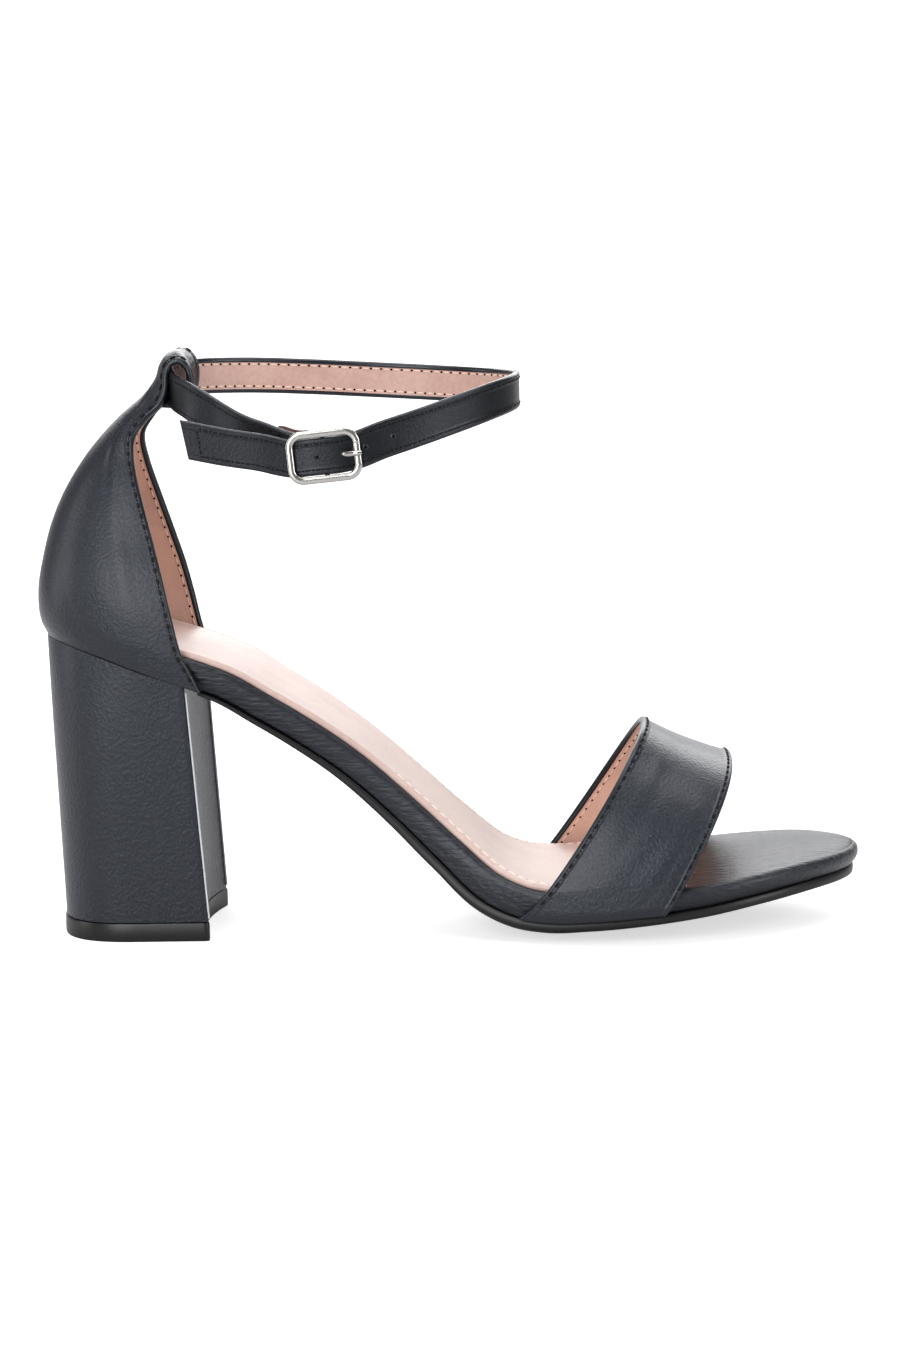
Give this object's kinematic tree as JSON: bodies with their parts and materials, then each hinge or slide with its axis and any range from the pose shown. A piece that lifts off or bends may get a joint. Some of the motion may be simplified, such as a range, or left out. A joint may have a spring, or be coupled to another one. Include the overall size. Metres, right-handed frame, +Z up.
{
  "type": "block heel sandal",
  "caption": "Right-foot block heel sandal with a closed heel cup, a buckled ankle strap through a back tab, and a wide open-toe band.",
  "frame": {"origin": "on the floor, at the centre of the heel's tread face", "axes": "+X towards the toe, -Y towards the outer side with the buckle, +Z up; the shoe stands on its heel tread and forefoot tread"},
  "size_m": [0.2258, 0.0812, 0.1604],
  "materials": {
    "black_leather": "satin, fine grain, faintly blue black",
    "nude_lining": "satin, pale pink nude",
    "black_rubber": "semi-matt black",
    "steel": "polished"
  },
  "bodies": {
    "root": {"footbed": "black_leather", "sock": "nude_lining", "outsole": "black_rubber", "heel_block": "black_leather", "top_lift": "black_rubber", "heel_cup": "black_leather", "vamp_band": "black_leather", "ankle_strap": "black_leather", "buckle_frame": "steel", "buckle_prong": "steel"}
  },
  "joints": []
}
